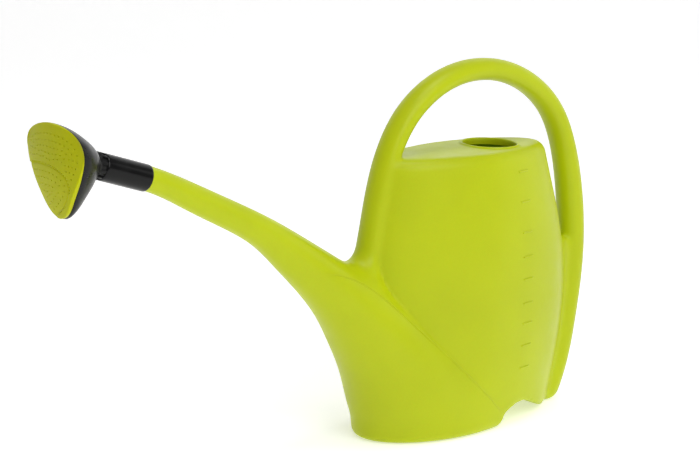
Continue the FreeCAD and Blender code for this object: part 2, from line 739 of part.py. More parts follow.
def main():
    doc = new_document()
    sheet = add_sheet(doc)
    pieces = split_can_body(doc, build_can_body(doc, sheet)) + [
        build_rose_sleeve(doc, sheet),
        build_rose_shell(doc, sheet),
        build_rose_face(doc, sheet),
    ]
    doc.recompute()
    check(doc, pieces)
    os.makedirs("parts", exist_ok=True)
    for piece in pieces:
        piece.Shape.exportStep(os.path.join("parts", piece.Label + ".step"))
        print(piece.Label, round(piece.Shape.Volume), piece.Shape.BoundBox)


main()
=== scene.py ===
"""Ten-litre garden watering can with a turning rose, in metres, in the frame of its CAD model.

+Z is up, the spout points along -X, and the can mirrors across Y = 0. Sizes below are in millimetres
unless they say otherwise, and become metres when a mesh is made.
"""
import json
import math

import bmesh
import bpy
import numpy as np
from mathutils import Matrix, Vector
from mathutils.bvhtree import BVHTree


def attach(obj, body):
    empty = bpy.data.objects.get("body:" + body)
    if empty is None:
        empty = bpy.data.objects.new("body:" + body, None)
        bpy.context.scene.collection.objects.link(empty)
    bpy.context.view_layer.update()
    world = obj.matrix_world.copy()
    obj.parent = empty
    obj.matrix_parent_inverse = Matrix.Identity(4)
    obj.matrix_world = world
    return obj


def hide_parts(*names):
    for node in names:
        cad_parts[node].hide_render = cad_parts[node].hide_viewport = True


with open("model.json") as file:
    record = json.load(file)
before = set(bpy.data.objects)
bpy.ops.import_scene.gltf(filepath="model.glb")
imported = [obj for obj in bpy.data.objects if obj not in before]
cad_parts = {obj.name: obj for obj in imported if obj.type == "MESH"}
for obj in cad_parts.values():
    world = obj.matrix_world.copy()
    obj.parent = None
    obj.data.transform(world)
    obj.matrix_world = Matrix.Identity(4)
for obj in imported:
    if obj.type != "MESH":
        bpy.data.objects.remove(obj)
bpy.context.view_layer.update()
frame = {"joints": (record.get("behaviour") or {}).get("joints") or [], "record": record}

MM = 0.001

# ---------------------------------------------------------------- camera
# A long lens looks at the can from the spout's side, a little above level.

CAMERA_TURN = math.radians(-38.0)
CAMERA_RISE = math.radians(12.0)
CAMERA_DISTANCE = 2.42
CAMERA_TARGET = Vector((-0.121, 0.0, 0.2398))

camera_data = bpy.data.cameras.new("camera")
camera_data.sensor_width = 36.0
camera_data.lens = 113.14
camera = bpy.data.objects.new("camera", camera_data)
back = Vector((math.sin(CAMERA_TURN) * math.cos(CAMERA_RISE),
               -math.cos(CAMERA_TURN) * math.cos(CAMERA_RISE),
               math.sin(CAMERA_RISE)))
camera.location = CAMERA_TARGET + back * CAMERA_DISTANCE
camera.rotation_euler = back.to_track_quat("Z", "Y").to_euler()
bpy.context.collection.objects.link(camera)
bpy.context.scene.camera = camera

# ---------------------------------------------------------------- can body
# One blow moulding in lime polyethylene: tank, horn spout, loop handle and web share one thin wall.
# Its skin is where a smooth field of distances is zero; the field joins the members with soft fillets,
# as the parison does in the mould.

SKIN_STEP = 3.2
WALL = 1.8
TOP = 318.5
CROWN_BLEND, FLOOR_BLEND = 13.0, 11.0
HORN_BLEND, HANDLE_BLEND, WEB_BLEND, RECESS_BLEND = 5.0, 4.0, 14.0, 3.0
FOOT_BLEND = 30.0
# the horn stands a little proud of the tank below a slanting level, where x + z is constant
CREASE_SUM, CREASE_PROUD, CREASE_BLEND = 68.0, 1.8, 0.8

# height, front, widest place, rear, whole width
TANK_OVALS = [
    (0.0, -97.0, 26.0, 164.0, 122.0), (66.6, -106.0, 30.0, 179.0, 139.0), (142.7, -108.0, 36.0, 189.0, 146.0),
    (221.9, -100.0, 40.0, 181.5, 141.0), (275.8, -90.0, 42.0, 167.0, 129.0),
    (317.0, -82.0, 42.0, 156.0, 117.0)]
FRONT_POWER, REAR_POWER = 1.7, 1.9

# upper point, lower point, whole width
HORN_OVALS = [
    ((-322.0, 318.3), (-333.0, 290.6), 29.0), ((-276.0, 295.3), (-290.5, 267.4), 31.5),
    ((-233.0, 272.8), (-250.0, 242.0), 37.0), ((-196.0, 250.8), (-217.0, 210.3), 45.0),
    ((-160.5, 228.3), (-187.0, 179.5), 58.0), ((-125.0, 205.5), (-159.0, 145.5), 76.0),
    ((-79.0, 176.0), (-137.5, 109.0), 99.0), ((-22.0, 137.0), (-120.5, 72.0), 120.0),
    ((44.0, 82.0), (-110.5, 34.0), 134.0), ((107.0, 9.0), (-107.0, 9.0), 138.0),
    ((107.0, -20.0), (-107.0, -20.0), 138.0)]

# place in the mirror plane, half thickness
HANDLE_LINE = [
    (164.0, -8.0, 14.5), (175.0, 10.0, 14.5), (188.5, 40.0, 14.5), (203.5, 101.0, 14.5), (213.0, 174.0, 15.0),
    (209.5, 247.0, 15.0), (198.0, 304.0, 13.3), (178.5, 347.5, 12.5), (142.0, 382.5, 12.5),
    (108.0, 398.8, 12.5), (64.0, 406.3, 12.5), (18.0, 399.8, 12.5), (-17.5, 382.8, 12.5),
    (-40.5, 363.5, 12.5), (-73.0, 307.5, 12.5),
    (-90.0, 240.0, 12.7), (-107.0, 165.0, 13.0)]
HANDLE_HALF_ACROSS = 17.0

WEB_OUTLINE = [(120.0, -20.0), (150.0, 66.6), (160.0, 142.6), (158.0, 196.0),
               (212.0, 196.0), (212.0, 142.6), (202.0, 66.6), (168.0, -20.0)]
WEB_HALF_ACROSS = 13.5

RECESS_OUTLINE = [(38.0, -14.0), (47.0, -2.0), (52.5, 8.0), (62.0, 17.0), (75.0, 22.5), (89.0, 24.0),
                  (104.0, 20.0), (124.0, 11.5), (146.0, 0.0), (170.0, -12.0), (170.0, -30.0), (38.0, -30.0)]

# the plain end of the spout runs along the rose's turning axis, up to the turning point
TURNING_WAY = 50.0
turning = next(joint for joint in frame["joints"] if joint["name"] == "rose_turn")
OUT = Vector(turning["axis"]).normalized()
UP = Vector((OUT.z, 0.0, -OUT.x))
SPOUT_START = Vector(turning["pos_m"]) / MM - OUT * TURNING_WAY
STOP_RADIUS = 13.3
STOP_WAYS = (24, 12, 0)


def spline(places, values):
    """Smooth curve through rows of values at rising places; returns a function of the place."""
    places, values = np.asarray(places, float), np.asarray(values, float)
    gap = np.diff(places)
    last = len(places) - 1
    matrix, right = np.eye(last + 1), np.zeros(values.shape)
    for i in range(1, last):
        matrix[i, i - 1:i + 2] = gap[i - 1], 2 * (gap[i - 1] + gap[i]), gap[i]
        right[i] = 3 * ((values[i + 1] - values[i]) / gap[i] - (values[i] - values[i - 1]) / gap[i - 1])
    bend = np.linalg.solve(matrix, right)

    def at(where):
        where = np.asarray(where, float)
        i = np.clip(np.searchsorted(places, where) - 1, 0, last - 1)
        step, width = (where - places[i])[..., None], gap[i][..., None]
        slope = (values[i + 1] - values[i]) / width - width * (2 * bend[i] + bend[i + 1]) / 3
        return values[i] + step * (slope + step * (bend[i] + step * (bend[i + 1] - bend[i]) / (3 * width)))
    return at


def soft_union(a, b, blend):
    near = np.maximum(blend - np.abs(a - b), 0) / blend
    return np.minimum(a, b) - near * near * blend / 4


def soft_common(a, b, blend):
    return -soft_union(-a, -b, blend)


def as_distance(field):
    """Field scaled by its own slope, so that it reads as a distance near its surface."""
    slopes = np.gradient(field, SKIN_STEP)
    slope = np.sqrt(sum(part * part for part in slopes))
    return np.clip(field / np.maximum(slope, 1e-4), -60, 60)


def outline_distance(x, z, outline):
    """Signed distance from points of the mirror plane to a closed outline, negative inside."""
    outline = np.asarray(outline, float)
    distance, inside = np.full(x.shape, 1e9), np.zeros(x.shape, bool)
    for a, b in zip(outline, np.roll(outline, -1, axis=0)):
        edge = b - a
        way = np.clip(((x - a[0]) * edge[0] + (z - a[1]) * edge[1]) / (edge @ edge), 0, 1)
        distance = np.minimum(distance, np.hypot(x - a[0] - edge[0] * way, z - a[1] - edge[1] * way))
        crosses = (a[1] <= z) != (b[1] <= z)
        drop = edge[1] if edge[1] else 1e-9
        inside ^= crosses & (x < a[0] + (z - a[1]) * edge[0] / drop)
    return np.where(inside, -distance, distance)


def tank_field(x, y, z):
    ovals = np.array(TANK_OVALS)
    rows = spline(ovals[:, 0], ovals[:, 1:])(np.clip(z, -4, TOP + 6))
    front, widest, rear, width = np.moveaxis(rows, -1, 0)
    ahead = x < widest
    reach = np.where(ahead, widest - front, rear - widest)
    power = np.where(ahead, FRONT_POWER, REAR_POWER)
    return as_distance(np.abs((x - widest) / reach) ** power + np.abs(2 * y / width) ** power - 1)


def horn_field(x, y, z):
    """Horn: each point of the mirror plane lies on one turning section, which gives its oval."""
    start = np.array([SPOUT_START.x, SPOUT_START.z])
    out, up = np.array([OUT.x, OUT.z]), np.array([UP.x, UP.z])
    ends = [(start + out * way + up * STOP_RADIUS, start + out * way - up * STOP_RADIUS) for way in STOP_WAYS]
    upper = [end[0] for end in ends] + [oval[0] for oval in HORN_OVALS]
    lower = [end[1] for end in ends] + [oval[1] for oval in HORN_OVALS]
    widths = [[2 * STOP_RADIUS]] * len(ends) + [[oval[2]] for oval in HORN_OVALS]
    middles = (np.array(upper) + np.array(lower)) / 2
    stations = np.concatenate([[0], np.cumsum(np.hypot(*np.diff(middles, axis=0).T) + 1)])
    ways = np.linspace(0, stations[-1], 420)
    highs, lows, wides = [spline(stations, rows)(ways) for rows in (upper, lower, widths)]

    def against(i):
        line = highs[i] - lows[i]
        length = np.hypot(*line)
        along = line / length
        right = x[:, 0] - lows[i][0], z[:, 0] - lows[i][1]
        across = right[0] * along[1] - right[1] * along[0]
        return across, (right[0] * along[0] + right[1] * along[1]) / length * 2 - 1

    share, width = np.full(x[:, 0].shape, 30.0), np.full(x[:, 0].shape, 1.0)
    found = np.zeros(x[:, 0].shape, bool)
    side, place = against(0)
    for i in range(1, len(ways)):
        next_side, next_place = against(i)
        between = np.where((side >= 0) & (next_side < 0), side / (side - next_side + 1e-12), 0)
        here = place + (next_place - place) * between
        fresh = (side >= 0) & (next_side < 0) & ~found & (np.abs(here) < 6)
        share[fresh] = here[fresh]
        width[fresh] = (wides[i - 1, 0] + (wides[i, 0] - wides[i - 1, 0]) * between)[fresh]
        found |= fresh
        side, place = next_side, next_place
    oval = np.sqrt(share[:, None] ** 2 + (2 * y / width[:, None]) ** 2) - 1
    near = found & (np.abs(share) < 5)
    return np.where(near[:, None], as_distance(np.clip(oval, -1, 30)), 60)


def handle_field(x, y, z):
    line = np.array(HANDLE_LINE)
    ways = np.concatenate([[0], np.cumsum(np.hypot(*np.diff(line[:, :2], axis=0).T))])
    nearest = np.full(x[:, 0].shape, 1e9)
    for spot_x, spot_z, thick in spline(ways, line)(np.arange(0, ways[-1], 1.5)):
        nearest = np.minimum(nearest, np.hypot(x[:, 0] - spot_x, z[:, 0] - spot_z) / thick)
    return as_distance(np.sqrt(nearest[:, None] ** 2 + (y / HANDLE_HALF_ACROSS) ** 2) - 1)


def web_field(x, y, z):
    flat = outline_distance(x[:, 0], z[:, 0], WEB_OUTLINE)[:, None]
    return soft_common(flat + 0 * y, np.abs(y) - WEB_HALF_ACROSS, 10.0)


def can_field(xs, ys, zs):
    """Whole can on a grid whose axes are x, y and z."""
    x, y, z = np.meshgrid(xs, ys, zs, indexing="ij")
    tank = soft_common(tank_field(x, y, z), z - TOP, CROWN_BLEND)
    handle = handle_field(x, y, z)
    horn = soft_union(horn_field(x, y, z), handle, FOOT_BLEND)
    below = soft_common(tank - CREASE_PROUD, (x + z - CREASE_SUM) / math.sqrt(2), CREASE_BLEND)
    can = soft_union(tank, web_field(x, y, z), WEB_BLEND)
    can = soft_union(can, handle, HANDLE_BLEND)
    can = soft_union(can, soft_union(horn, below, HORN_BLEND), CREASE_BLEND)
    can = soft_common(can, -z, FLOOR_BLEND)
    recess = outline_distance(x[:, 0], z[:, 0], RECESS_OUTLINE)[:, None] + 0 * y
    return soft_common(can, -recess, RECESS_BLEND)


def read_grid(grid, spots, corner):
    """Grid values between grid points."""
    place = (spots - corner) / SKIN_STEP
    low = np.clip(place.astype(int), 0, np.array(grid.shape[:3]) - 2)
    part = place - low
    total = 0
    for di in (0, 1):
        for dj in (0, 1):
            for dk in (0, 1):
                weight = (np.abs(1 - di - part[:, 0]) * np.abs(1 - dj - part[:, 1])
                          * np.abs(1 - dk - part[:, 2]))
                value = grid[low[:, 0] + di, low[:, 1] + dj, low[:, 2] + dk]
                total = total + (weight[:, None] * value if value.ndim > 1 else weight * value)
    return total


def net_surface(grid, corner):
    """Quads round the zero surface of a grid: one vertex in each cell that the surface crosses."""
    inside = grid < 0
    shape = np.array(grid.shape) - 1
    filled = sum(inside[i:shape[0] + i, j:shape[1] + j, k:shape[2] + k].astype(int)
                 for i in (0, 1) for j in (0, 1) for k in (0, 1))
    crossed = (filled > 0) & (filled < 8)
    number = np.full(crossed.shape, -1)
    number[crossed] = np.arange(crossed.sum())
    cells = np.argwhere(crossed)
    spots, hits = np.zeros((len(cells), 3)), np.zeros(len(cells))
    for axis in range(3):
        for start in np.ndindex(2, 2, 2):
            if start[axis]:
                continue
            stop = list(start)
            stop[axis] = 1
            a, b = grid[tuple((cells + start).T)], grid[tuple((cells + stop).T)]
            cut = (a < 0) != (b < 0)
            spot = np.tile(np.array(start, float), (len(cells), 1))
            spot[:, axis] += np.where(cut, a / np.where(cut, a - b, 1), 0)
            spots[cut] += spot[cut]
            hits += cut
    spots = corner + (cells + spots / hits[:, None]) * SKIN_STEP
    faces = []
    for axis in range(3):
        after, before = (axis + 1) % 3, (axis + 2) % 3
        a = inside[tuple(slice(0, -1) if n == axis else slice(None) for n in range(3))]
        b = inside[tuple(slice(1, None) if n == axis else slice(None) for n in range(3))]
        edges = np.argwhere(a != b)
        edges = edges[(edges[:, after] > 0) & (edges[:, before] > 0)
                      & (edges[:, after] < shape[after]) & (edges[:, before] < shape[before])]
        ring = []
        for back_after, back_before in ((1, 1), (0, 1), (0, 0), (1, 0)):
            cell = edges.copy()
            cell[:, after] -= back_after
            cell[:, before] -= back_before
            ring.append(number[tuple(cell.T)])
        quads = np.stack(ring, -1)
        outward = a[tuple(edges.T)]
        quads[~outward] = quads[~outward][:, ::-1]
        faces.append(quads)
    return spots, np.vstack(faces)


def settle(spots, faces, grid, corner, rounds=6):
    """Even out the net and bring it back onto the zero surface."""
    slopes = np.stack(np.gradient(grid, SKIN_STEP), -1)
    links = np.vstack([faces[:, [0, 1]], faces[:, [1, 2]], faces[:, [2, 3]], faces[:, [3, 0]]])
    count = np.bincount(links.ravel(), minlength=len(spots))[:, None]
    for _ in range(rounds):
        total = np.zeros_like(spots)
        for axis in range(3):
            total[:, axis] = (np.bincount(links[:, 0], spots[links[:, 1], axis], len(spots))
                              + np.bincount(links[:, 1], spots[links[:, 0], axis], len(spots)))
        spots = 0.4 * spots + 0.6 * total / count
        for _ in range(2):
            slope = read_grid(slopes, spots, corner)
            steep = np.maximum((slope ** 2).sum(1), 0.05)
            spots = spots - slope * (read_grid(grid, spots, corner) / steep)[:, None]
    return spots


def loop_of(bm, test):
    """Edges of the open border whose middle passes a test."""
    return [edge for edge in bm.edges if edge.is_boundary and test((edge.verts[0].co + edge.verts[1].co) / 2)]


def add_ring(bm, spots, old_edges):
    """Closed ring of vertices, bridged to a ring of edges; returns the new ring's edges."""
    ring = [bm.verts.new(spot) for spot in spots]
    edges = [bm.edges.new((a, b)) for a, b in zip(ring, ring[1:] + ring[:1])]
    bmesh.ops.bridge_loops(bm, edges=old_edges + edges)
    return edges


def oval_ring(grow, height, count=96):
    """Level oval round the filling hole, in millimetres."""
    turns = [2 * math.pi * number / count for number in range(count)]
    return [Vector((HOLE_X + (HOLE_HALF + grow) * math.cos(turn),
                    (HOLE_HALF_ACROSS + grow) * math.sin(turn), height)) for turn in turns]


def spout_ring(radius, way, count=64):
    """Ring round the spout's axis at a distance along it."""
    turns = [2 * math.pi * number / count for number in range(count)]
    return [SPOUT_START + OUT * way + UP * radius * math.cos(turn)
            + Vector((0, radius * math.sin(turn), 0)) for turn in turns]


def shade(mesh, sharp=35.0):
    """Smooth faces with crisp edges where the surface turns sharply."""
    mesh.shade_smooth()
    mesh.set_sharp_from_angle(angle=math.radians(sharp))


HOLE_X, HOLE_HALF, HOLE_HALF_ACROSS = 82.0, 28.0, 35.0
# rise of the rolled lip of the filling hole: distance out from the hole's edge, height above the top
LIP_PROFILE = [(5.8, 0.0), (4.7, 0.2), (3.9, 0.6), (3.4, 1.2), (2.9, 1.65), (2.2, 1.9), (1.4, 1.9),
               (0.7, 1.65), (0.2, 1.1), (0.0, 0.4), (0.0, -2.6), (0.3, -6.0)]
# plain end of the spout inside the sleeve: radius, distance along the axis
END_PROFILE = [(13.3, -1.4), (13.3, -0.5), (13.0, -0.2), (12.8, -0.2), (12.8, 0.4), (12.8, 20.0),
               (12.8, 38.8), (12.6, 39.6), (12.2, 40.0)]

# the grid: ends along X and Z, and rows on each side of the mirror plane, which lies between two of them
GRID_X, GRID_Z, GRID_ROWS = (-431.0, 238.0), (-6.3, 427.0), 27
xs, zs = np.arange(*GRID_X, SKIN_STEP), np.arange(*GRID_Z, SKIN_STEP)
half_ys = (np.arange(GRID_ROWS) + 0.5) * SKIN_STEP
corner = np.array([xs[0], -half_ys[-1], zs[0]])
half_grid = can_field(xs, half_ys, zs)
grid = np.concatenate([half_grid[:, ::-1], half_grid], axis=1)
spots, faces = net_surface(grid, corner)
spots = settle(spots, faces, grid, corner)

bm = bmesh.new()
for spot in spots:
    bm.verts.new(spot)
bm.verts.ensure_lookup_table()
for face in faces.tolist():
    bm.faces.new([bm.verts[i] for i in face])


def in_hole(spot):
    oval = ((spot.x - HOLE_X) / (HOLE_HALF + 5.6)) ** 2 + (spot.y / (HOLE_HALF_ACROSS + 5.6)) ** 2
    return TOP - 3 < spot.z < TOP + 5 and oval < 1


def past_stop(spot):
    return (spot - SPOUT_START).dot(OUT) > -3.0


cut_away = [vert for vert in bm.verts if in_hole(vert.co) or past_stop(vert.co)]
bmesh.ops.delete(bm, geom=cut_away, context="VERTS")
hole_edges = loop_of(bm, lambda spot: spot.x > 0)
mouth_edges = loop_of(bm, lambda spot: spot.x < -350)
for vert in {vert for edge in hole_edges for vert in edge.verts}:
    turn = math.atan2(vert.co.y / HOLE_HALF_ACROSS, (vert.co.x - HOLE_X) / HOLE_HALF)
    vert.co.x = HOLE_X + (HOLE_HALF + 6.6) * math.cos(turn)
    vert.co.y = (HOLE_HALF_ACROSS + 6.6) * math.sin(turn)
for vert in {vert for edge in mouth_edges for vert in edge.verts}:
    away = vert.co - SPOUT_START
    side = (away - OUT * away.dot(OUT)).normalized()
    vert.co = SPOUT_START + side * STOP_RADIUS - OUT * 3.4
for grow, rise in LIP_PROFILE:
    hole_edges = add_ring(bm, oval_ring(grow, TOP + rise), hole_edges)
for radius, way in END_PROFILE:
    mouth_edges = add_ring(bm, spout_ring(radius, way), mouth_edges)
bmesh.ops.recalc_face_normals(bm, faces=bm.faces)
bmesh.ops.scale(bm, vec=(MM, MM, MM), verts=bm.verts)
mesh = bpy.data.meshes.new("can_skin")
bm.to_mesh(mesh)
bm.free()


def keep(name, mesh, body, nodes=(), material=None):
    """Object for a finished mesh that rides on a body and stands for CAD nodes."""
    piece = bpy.data.objects.new(name, mesh)
    bpy.context.collection.objects.link(piece)
    if material:
        mesh.materials.clear()
        mesh.materials.append(material)
    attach(piece, body)
    if nodes:
        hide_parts(*nodes)
    return piece


def plain_copy(piece):
    """Mesh of an object with its modifiers applied."""
    ready = piece.evaluated_get(bpy.context.evaluated_depsgraph_get())
    return bpy.data.meshes.new_from_object(ready)


skin = bpy.data.objects.new("can_skin", mesh)
bpy.context.collection.objects.link(skin)
wall = skin.modifiers.new("wall", "SOLIDIFY")
wall.thickness = WALL * MM
wall.offset = -1.0
can_mesh = plain_copy(skin)
bpy.data.objects.remove(skin)
shade(can_mesh)


def add_node(tree, kind, **settings):
    """New node of a tree, with its settings."""
    node = tree.nodes.new(kind)
    for name, value in settings.items():
        setattr(node, name, value)
    return node


def noise(tree, place, scale, detail, **more):
    """Noise texture on a place; further sockets go by their names."""
    node = add_node(tree, "ShaderNodeTexNoise")
    for socket, value in {"Scale": scale, "Detail": detail, **more}.items():
        node.inputs[socket].default_value = value
    tree.links.new(place, node.inputs["Vector"])
    return node


def lime_plastic(name, colour, rough, shine, grain_depth):
    """Satin polyethylene: fine moulded grain, slight unevenness of the wall and a few soft scuffs."""
    material = bpy.data.materials.new(name)
    material.use_nodes = True
    tree = material.node_tree
    link = tree.links.new
    shader = tree.nodes["Principled BSDF"]
    place = add_node(tree, "ShaderNodeTexCoord").outputs["Object"]

    cloud = noise(tree, place, 9.0, 4.0)
    tint = add_node(tree, "ShaderNodeValToRGB")
    tint.color_ramp.elements[0].position = 0.3
    tint.color_ramp.elements[0].color = (*[part * 0.95 for part in colour], 1)
    tint.color_ramp.elements[1].position = 0.7
    tint.color_ramp.elements[1].color = (*[min(part * 1.04, 1) for part in colour], 1)
    link(cloud.outputs["Fac"], tint.inputs["Fac"])

    speck = noise(tree, place, 420.0, 2.0)
    dust = add_node(tree, "ShaderNodeMix", data_type="RGBA", blend_type="OVERLAY")
    dust.inputs["Factor"].default_value = 0.05
    link(tint.outputs["Color"], dust.inputs["A"])
    link(speck.outputs["Color"], dust.inputs["B"])
    link(dust.outputs["Result"], shader.inputs["Base Color"])

    scuff = noise(tree, place, 26.0, 8.0, Roughness=0.7)
    satin = add_node(tree, "ShaderNodeMapRange")
    satin.inputs["From Min"].default_value = 0.35
    satin.inputs["From Max"].default_value = 0.7
    satin.inputs["To Min"].default_value = rough - 0.05
    satin.inputs["To Max"].default_value = rough + 0.09
    link(scuff.outputs["Fac"], satin.inputs["Value"])
    link(satin.outputs["Result"], shader.inputs["Roughness"])

    grain = noise(tree, place, 1500.0, 3.0)
    sag = noise(tree, place, 22.0, 1.0)
    uneven = add_node(tree, "ShaderNodeBump")
    uneven.inputs["Strength"].default_value = 0.25
    uneven.inputs["Distance"].default_value = 0.0006
    link(sag.outputs["Fac"], uneven.inputs["Height"])
    fine = add_node(tree, "ShaderNodeBump")
    fine.inputs["Strength"].default_value = 0.35
    fine.inputs["Distance"].default_value = grain_depth
    link(grain.outputs["Fac"], fine.inputs["Height"])
    link(uneven.outputs["Normal"], fine.inputs["Normal"])
    link(fine.outputs["Normal"], shader.inputs["Normal"])
    shader.inputs["IOR"].default_value = 1.5
    shader.inputs["Specular IOR Level"].default_value = shine
    shader.inputs["Subsurface Weight"].default_value = 0.3
    shader.inputs["Subsurface Radius"].default_value = (0.004, 0.005, 0.001)
    shader.inputs["Subsurface Scale"].default_value = 1.0
    return material


can_plastic = lime_plastic("can_plastic", (0.485, 0.565, 0.003), 0.38, 0.24, 0.00005)
can_nodes = frame["record"]["behaviour"]["bodies"]["can"]
can_skin = keep("can_body_skin", can_mesh, "can", can_nodes, can_plastic)

# ---------------------------------------------------------------- horn seam
# A fine raised line on each side, where the horn's upper edge runs back across the tank to the recess.
# It is part of the moulding: a flat bead laid on the skin, fading out at both ends.

# place in the mirror plane
SEAM_LINE = [(-176.0, 207.0), (-150.0, 200.5), (-128.0, 190.0), (-108.0, 175.5), (-72.0, 140.5),
             (-28.0, 96.0), (17.0, 51.0), (50.0, 18.5)]
SEAM_HALF_WIDTH, SEAM_PROUD, SEAM_STEP, SEAM_SIDES = 1.25, 0.75, 3.0, 10
SEAM_SOFTENING = 6


def seam_mesh(skin_tree, side):
    """Flat bead along the seam on one side of the can."""
    line = np.array(SEAM_LINE)
    ways = np.concatenate([[0], np.cumsum(np.hypot(*np.diff(line, axis=0).T))])
    count = int(ways[-1] / SEAM_STEP)
    spots, normals = [], []
    for x, z in spline(ways, line)(np.linspace(0, ways[-1], count)):
        spot, normal, _, _ = skin_tree.ray_cast(Vector((x, side * 200.0, z)) * MM, Vector((0, -side, 0)))
        spots.append(spot / MM)
        normals.append(normal)
    for _ in range(SEAM_SOFTENING):
        spots[1:-1] = [(a + b * 2 + c) / 4 for a, b, c in zip(spots, spots[1:], spots[2:])]
        normals[1:-1] = [(a + b * 2 + c).normalized() for a, b, c in zip(normals, normals[1:], normals[2:])]
    rings = []
    for number, (spot, normal) in enumerate(zip(spots, normals)):
        along = spots[min(number + 1, count - 1)] - spots[max(number - 1, 0)]
        across = along.cross(normal).normalized()
        fade = max(math.sin(math.pi * number / (count - 1)), 0.0) ** 0.4 + 0.02
        turns = [2 * math.pi * step / SEAM_SIDES for step in range(SEAM_SIDES)]
        rings.append([spot + across * SEAM_HALF_WIDTH * fade * math.cos(turn)
                      + normal * SEAM_PROUD * fade * math.sin(turn) for turn in turns])
    bm = bmesh.new()
    loops = [[bm.verts.new(point * MM) for point in ring] for ring in rings]
    for ring, following in zip(loops, loops[1:]):
        for step in range(SEAM_SIDES):
            beside = (step + 1) % SEAM_SIDES
            bm.faces.new((ring[step], ring[beside], following[beside], following[step]))
    bm.faces.new(loops[0])
    bm.faces.new(loops[-1])
    bmesh.ops.recalc_face_normals(bm, faces=bm.faces)
    mesh = bpy.data.meshes.new("horn_seam")
    bm.to_mesh(mesh)
    bm.free()
    shade(mesh, 60)
    return mesh


skin_tree = BVHTree.FromObject(can_skin, bpy.context.evaluated_depsgraph_get())
for name, side in (("horn_seam_near", -1), ("horn_seam_far", 1)):
    keep(name, seam_mesh(skin_tree, side), "can", material=can_plastic)

# ---------------------------------------------------------------- litre marks
# Nine short raised ribs on the near side, one for each litre from two to ten, moulded with the wall.
# A node tree sets one rib at each height and lays it on the skin.

MARK_HEIGHTS = [295.0, 261.0, 226.0, 198.0, 172.0, 144.0, 120.0, 94.0, 67.0]
MARK_X = 83.0
MARK_LENGTH, MARK_WIDTH, MARK_PROUD, MARK_ROOT = 17.0, 2.0, 1.0, 0.8


def add_input(tree, name, kind):
    return tree.interface.new_socket(name, in_out="INPUT", socket_type=kind).identifier


def grow_mesh(name, base, tree, values):
    """Run a node tree on a mesh and return the plain result; values go in by socket identifier."""
    source = bpy.data.objects.new(name, base)
    bpy.context.collection.objects.link(source)
    modifier = source.modifiers.new("grow", "NODES")
    modifier.node_group = tree
    for identifier, value in values.items():
        modifier[identifier] = value
    result = plain_copy(source)
    source.modifiers.remove(modifier)
    bpy.data.objects.remove(source)
    return result


marks = bpy.data.node_groups.new("litre_marks", "GeometryNodeTree")
marks.is_modifier = True
add_input(marks, "Heights", "NodeSocketGeometry")
body_in = add_input(marks, "Body", "NodeSocketObject")
length_in = add_input(marks, "Length", "NodeSocketFloat")
width_in = add_input(marks, "Width", "NodeSocketFloat")
proud_in = add_input(marks, "Proud", "NodeSocketFloat")
root_in = add_input(marks, "Root", "NodeSocketFloat")
finish_in = add_input(marks, "Finish", "NodeSocketMaterial")
marks.interface.new_socket("Geometry", in_out="OUTPUT", socket_type="NodeSocketGeometry")
link = marks.links.new
given = add_node(marks, "NodeGroupInput").outputs
size = add_node(marks, "ShaderNodeCombineXYZ")
link(given["Length"], size.inputs["X"])
size.inputs["Y"].default_value = 1.0
link(given["Width"], size.inputs["Z"])
bar = add_node(marks, "GeometryNodeMeshCube")
bar.inputs["Vertices X"].default_value = 17
bar.inputs["Vertices Y"].default_value = 2
bar.inputs["Vertices Z"].default_value = 7
link(size.outputs["Vector"], bar.inputs["Size"])
# share of the rib's height at each point: full along the middle, round towards ends and edges
own = add_node(marks, "ShaderNodeSeparateXYZ")
link(add_node(marks, "GeometryNodeInputPosition").outputs["Position"], own.inputs["Vector"])


def math_node(tree, operation, first, second=None):
    node = add_node(tree, "ShaderNodeMath", operation=operation)
    for socket, value in zip(node.inputs, (first, second)):
        if isinstance(value, (int, float)):
            socket.default_value = value
        elif value is not None:
            tree.links.new(value, socket)
    return node.outputs["Value"]


half_width = math_node(marks, "MULTIPLY", given["Width"], 0.5)
half_length = math_node(marks, "MULTIPLY", given["Length"], 0.5)
straight = math_node(marks, "SUBTRACT", half_length, half_width)
past = math_node(marks, "MAXIMUM", math_node(
    marks, "SUBTRACT", math_node(marks, "ABSOLUTE", own.outputs["X"]), straight), 0.0)
reach = math_node(marks, "SQRT", math_node(marks, "ADD", math_node(marks, "POWER", past, 2.0),
                                           math_node(marks, "POWER", own.outputs["Z"], 2.0)))
share = math_node(marks, "DIVIDE", reach, half_width)
crown = math_node(marks, "SQRT", math_node(marks, "MAXIMUM", math_node(
    marks, "SUBTRACT", 1.0, math_node(marks, "MULTIPLY", share, share)), 0.0))
front = math_node(marks, "LESS_THAN", own.outputs["Y"], 0.0)
lift = math_node(marks, "SUBTRACT",
                 math_node(marks, "MULTIPLY", math_node(marks, "MULTIPLY", crown, given["Proud"]), front),
                 math_node(marks, "MULTIPLY", math_node(marks, "SUBTRACT", 1.0, front), given["Root"]))
store = add_node(marks, "GeometryNodeStoreNamedAttribute", data_type="FLOAT", domain="POINT")
store.inputs["Name"].default_value = "lift"
link(bar.outputs["Mesh"], store.inputs["Geometry"])
link(lift, store.inputs["Value"])
place = add_node(marks, "GeometryNodeInstanceOnPoints")
link(given["Heights"], place.inputs["Points"])
link(store.outputs["Geometry"], place.inputs["Instance"])
real = add_node(marks, "GeometryNodeRealizeInstances")
link(place.outputs["Instances"], real.inputs["Geometry"])
body = add_node(marks, "GeometryNodeObjectInfo")
link(given["Body"], body.inputs["Object"])
here = add_node(marks, "ShaderNodeSeparateXYZ")
link(add_node(marks, "GeometryNodeInputPosition").outputs["Position"], here.inputs["Vector"])
outside = add_node(marks, "ShaderNodeCombineXYZ")
link(here.outputs["X"], outside.inputs["X"])
outside.inputs["Y"].default_value = -0.2
link(here.outputs["Z"], outside.inputs["Z"])
ray = add_node(marks, "GeometryNodeRaycast", data_type="FLOAT")
